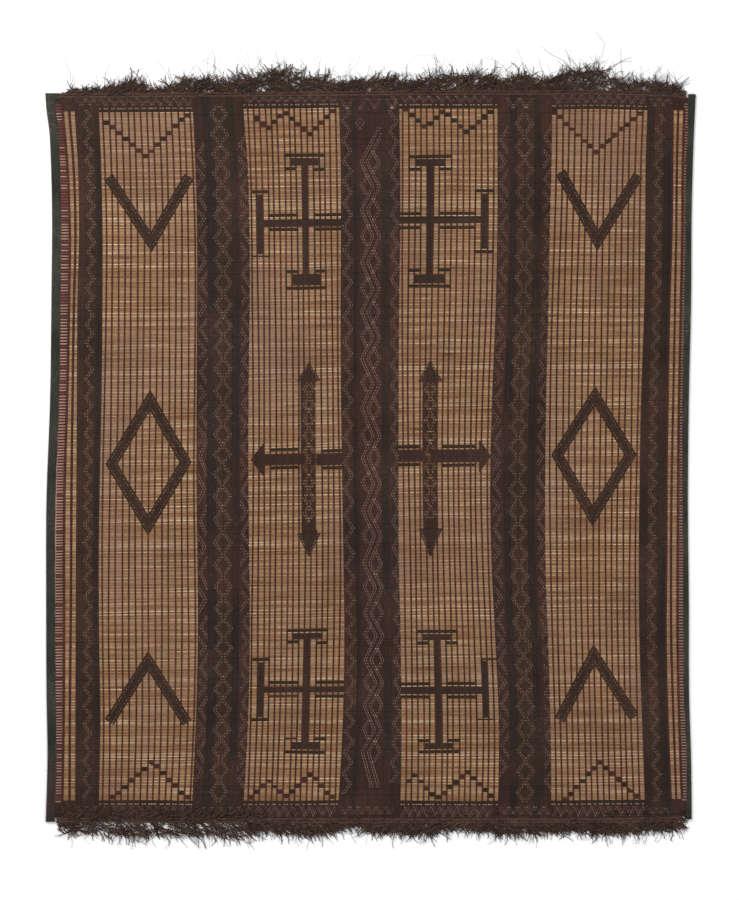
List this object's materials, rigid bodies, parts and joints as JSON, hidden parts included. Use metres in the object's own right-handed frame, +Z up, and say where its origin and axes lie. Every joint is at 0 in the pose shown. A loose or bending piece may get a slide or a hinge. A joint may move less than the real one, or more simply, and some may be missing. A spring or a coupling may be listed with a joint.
{
  "type": "leather and straw floor mat",
  "caption": "Flat oblong mat of straw reeds woven with dark leather strips in bands, crosses and lozenges, with twined ends, leather fringe and cloth-bound sides.",
  "frame": {"origin": "middle of the whole mat with its fringes, on the floor", "axes": "+X along the reeds to the right-hand side, +Y along the leather strips to the upper fringe, +Z up off the floor"},
  "size_m": [1.4966, 1.862, 0.0062],
  "materials": {
    "straw": "dry split reeds with a faint shine, each a slightly different tan",
    "leather": "dark brown strips, worn and slightly shiny",
    "red_leather": "matt red strips",
    "binding_cloth": "coarse green-black cloth, faded along the fold",
    "patch_cloth": "brown-violet cloth, matt"
  },
  "bodies": {
    "root": {"woven_mat": "straw", "left_binding": "binding_cloth", "left_binding_end": "patch_cloth", "right_binding": "binding_cloth", "top_fringe": "leather", "bottom_fringe": "leather"}
  },
  "joints": []
}
